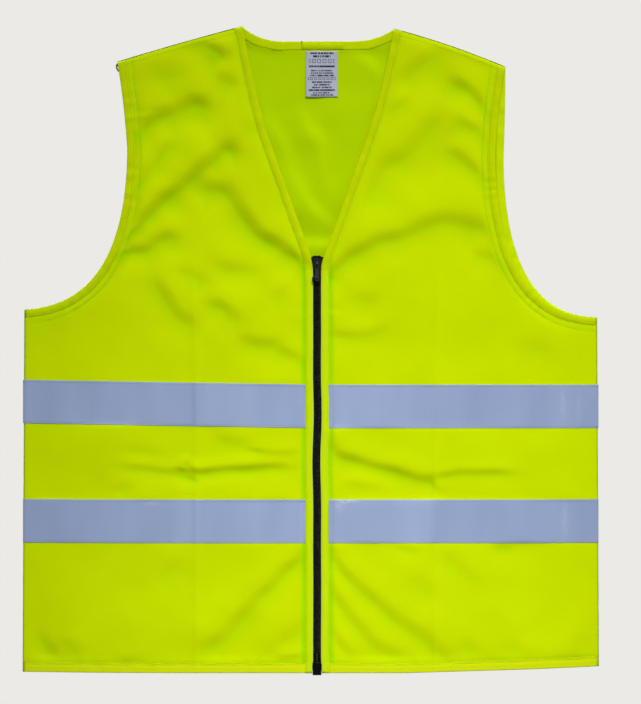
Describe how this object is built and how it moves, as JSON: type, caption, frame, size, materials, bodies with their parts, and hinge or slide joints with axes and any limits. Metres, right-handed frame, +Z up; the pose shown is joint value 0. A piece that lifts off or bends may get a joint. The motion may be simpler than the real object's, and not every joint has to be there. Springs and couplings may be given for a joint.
{
  "type": "high visibility vest",
  "caption": "Sleeveless fluorescent fabric vest with a V neck, bound edges, a separable front zip, reflective body bands and a care label inside the neck.",
  "frame": {"origin": "midway between the two neck points, on top of the shoulders and in the plane between front and back", "axes": "+Z up along the garment, +X towards the wearer's left, -Y towards the front"},
  "size_m": [0.6625, 0.0534, 0.7459],
  "materials": {
    "vest_fabric": "fine fluorescent lime-yellow polyester warp knit, soft with a slight sheen",
    "trim_fabric": "woven yellow binding tape and turned hem, with lines of stitching",
    "seam_fabric": "lapped and stitched seam of the vest fabric",
    "reflective_band": "bluish silver retroreflective tape with a fine bead grain, stitched at both edges",
    "zip_tape": "black woven polyester zip tape",
    "zip_plastic": "black moulded plastic, satin",
    "slider_metal": "black enamelled zinc, semi-gloss",
    "label_fabric": null
  },
  "bodies": {
    "vest_body": {"front_panel_right_side": "vest_fabric", "armhole_binding_front_right": "trim_fabric", "armhole_binding_back_right": "trim_fabric", "hem_band_right_side": "trim_fabric", "shoulder_seam_right": "seam_fabric", "side_seam_right": "seam_fabric", "reflective_band_upper_right_side": "reflective_band", "reflective_band_lower_right_side": "reflective_band", "front_panel_left_side": "vest_fabric", "armhole_binding_front_left": "trim_fabric", "armhole_binding_back_left": "trim_fabric", "hem_band_left_side": "trim_fabric", "shoulder_seam_left": "seam_fabric", "side_seam_left": "seam_fabric", "reflective_band_upper_left_side": "reflective_band", "reflective_band_lower_left_side": "reflective_band", "back_panel": "vest_fabric", "hem_band_back": "trim_fabric", "back_neck_binding": "trim_fabric", "neck_binding_join": "trim_fabric", "reflective_band_upper_back": "reflective_band", "reflective_band_lower_back": "reflective_band"},
    "right_front": {"front_panel_right_leaf": "vest_fabric", "neck_binding_right": "trim_fabric", "hem_band_right_leaf": "trim_fabric", "reflective_band_upper_right_leaf": "reflective_band", "reflective_band_lower_right_leaf": "reflective_band", "zip_placket_right": "vest_fabric", "zip_tape_right": "zip_tape", "zip_teeth_right": "zip_plastic", "zip_top_stop_right": "zip_plastic", "zip_insertion_pin": "zip_plastic"},
    "left_front": {"front_panel_left_leaf": "vest_fabric", "neck_binding_left": "trim_fabric", "hem_band_left_leaf": "trim_fabric", "reflective_band_upper_left_leaf": "reflective_band", "reflective_band_lower_left_leaf": "reflective_band", "zip_placket_left": "vest_fabric", "zip_tape_left": "zip_tape", "zip_teeth_left": "zip_plastic", "zip_top_stop_left": "zip_plastic", "zip_box_pin": "zip_plastic", "zip_retainer_box": "zip_plastic"},
    "zip_slider": {"zip_slider_body": "slider_metal", "zip_slider_bridge": "slider_metal"},
    "pull_tab": {"zip_pull_tab": "slider_metal"},
    "care_label": {"care_label": "label_fabric"}
  },
  "joints": [
    {"name": "right_front_opening", "type": "hinge", "parent": "vest_body", "child": "right_front", "pos_m": [-0.086, -0.0039, 0], "axis": [-0.1148, -0.0315, -0.9929], "range_deg": [0, 150]},
    {"name": "left_front_opening", "type": "hinge", "parent": "vest_body", "child": "left_front", "pos_m": [0.0885, -0.004, -0.003], "axis": [-0.1096, 0.0316, 0.9935], "range_deg": [0, 150]},
    {"name": "zip_slider_travel", "type": "slide", "parent": "left_front", "child": "zip_slider", "axis": [0, -0.0317, -0.9995], "range_m": [0, 0.4505]},
    {"name": "pull_tab_swing", "type": "hinge", "parent": "zip_slider", "child": "pull_tab", "pos_m": [0, -0.01499, -0.27347], "axis": [-1, 0, 0], "range_deg": [0, 165]},
    {"name": "care_label_flip", "type": "hinge", "parent": "vest_body", "child": "care_label", "pos_m": [0, 0.00103, -0.0278], "axis": [-1, 0, 0], "range_deg": [0, 150]}
  ]
}
